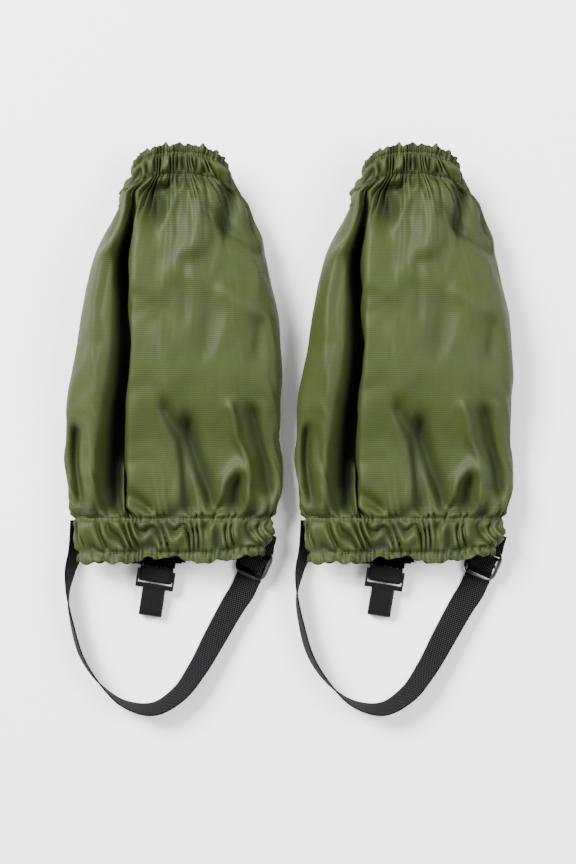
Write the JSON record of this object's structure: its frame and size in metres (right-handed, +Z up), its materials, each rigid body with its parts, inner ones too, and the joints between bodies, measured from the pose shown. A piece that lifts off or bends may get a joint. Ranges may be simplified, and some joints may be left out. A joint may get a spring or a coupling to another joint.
{
  "type": "gaiters",
  "caption": "Pair of short cloth ankle gaiters with ruffled elastic cuffs, a lace hook on a webbing tab and an adjustable webbing instep strap, lying flat.",
  "frame": {"origin": "on the surface the pair lies on, under the middle of the pair's box", "axes": "+X to the right across the pair, +Y from the shoe hem to the calf edge, +Z up off the surface"},
  "size_m": [0.4084, 0.519, 0.0597],
  "materials": {
    "sleeve_cloth": "tightly woven coated polyester with fine crosswise ribs and a soft sheen",
    "elastic": "woven elastic band",
    "webbing": "plain-woven polypropylene webbing",
    "thread": "sewing thread",
    "hook_nylon": "smooth black moulded plastic"
  },
  "bodies": {
    "left_gaiter": {"left_sleeve": "sleeve_cloth", "left_back_seam": "sleeve_cloth", "left_calf_elastic": "elastic", "left_ankle_elastic": "elastic", "left_hook_tab_patch": "webbing", "left_hook_tab_stitches": "thread", "left_slider_anchor": "webbing", "left_strap_sewn_end": "webbing", "left_strap_stitches": "thread"},
    "left_slider": {"left_strap_slider": "hook_nylon", "left_strap_threaded_end": "webbing"},
    "left_strap": {"left_instep_strap": "webbing"},
    "left_tab": {"left_hook_tab_webbing": "webbing"},
    "left_hook": {"left_lace_hook": "hook_nylon"},
    "right_gaiter": {"right_sleeve": "sleeve_cloth", "right_back_seam": "sleeve_cloth", "right_calf_elastic": "elastic", "right_ankle_elastic": "elastic", "right_hook_tab_patch": "webbing", "right_hook_tab_stitches": "thread", "right_slider_anchor": "webbing", "right_strap_sewn_end": "webbing", "right_strap_stitches": "thread"},
    "right_slider": {"right_strap_slider": "hook_nylon", "right_strap_threaded_end": "webbing"},
    "right_strap": {"right_instep_strap": "webbing"},
    "right_tab": {"right_hook_tab_webbing": "webbing"},
    "right_hook": {"right_lace_hook": "hook_nylon"}
  },
  "joints": [
    {"name": "left_strap_swing", "type": "hinge", "parent": "left_gaiter", "child": "left_strap", "pos_m": [-0.03753, -0.13172, 0.0115], "axis": [-0.9953, 0.0965, 0.0057], "range_deg": [0, 30]},
    {"name": "left_slider_tilt", "type": "hinge", "parent": "left_gaiter", "child": "left_slider", "pos_m": [-0.0256, -0.10681, 0.009], "axis": [-0.8409, 0.3744, -0.3907], "range_deg": [0, 6]},
    {"name": "left_tab_fold", "type": "hinge", "parent": "left_gaiter", "child": "left_tab", "pos_m": [-0.11955, -0.12299, 0.0128], "axis": [-0.9877, 0.1564, 0], "range_deg": [0, 60]},
    {"name": "left_hook_swing", "type": "hinge", "parent": "left_tab", "child": "left_hook", "pos_m": [-0.12119, -0.13332, 0.01188], "axis": [-0.9877, 0.1564, 0], "range_deg": [0, 45]},
    {"name": "right_gaiter_apart", "type": "slide", "parent": "left_gaiter", "child": "right_gaiter", "axis": [1, 0, 0], "range_m": [0, 0.06]},
    {"name": "right_strap_swing", "type": "hinge", "parent": "right_gaiter", "child": "right_strap", "pos_m": [0.17247, -0.13172, 0.0115], "axis": [-0.9953, 0.0965, 0.0057], "range_deg": [0, 30]},
    {"name": "right_slider_tilt", "type": "hinge", "parent": "right_gaiter", "child": "right_slider", "pos_m": [0.1844, -0.10681, 0.009], "axis": [-0.8409, 0.3744, -0.3907], "range_deg": [0, 6]},
    {"name": "right_tab_fold", "type": "hinge", "parent": "right_gaiter", "child": "right_tab", "pos_m": [0.09045, -0.12299, 0.0128], "axis": [-0.9877, 0.1564, 0], "range_deg": [0, 60]},
    {"name": "right_hook_swing", "type": "hinge", "parent": "right_tab", "child": "right_hook", "pos_m": [0.08881, -0.13332, 0.01188], "axis": [-0.9877, 0.1564, 0], "range_deg": [0, 45]}
  ]
}
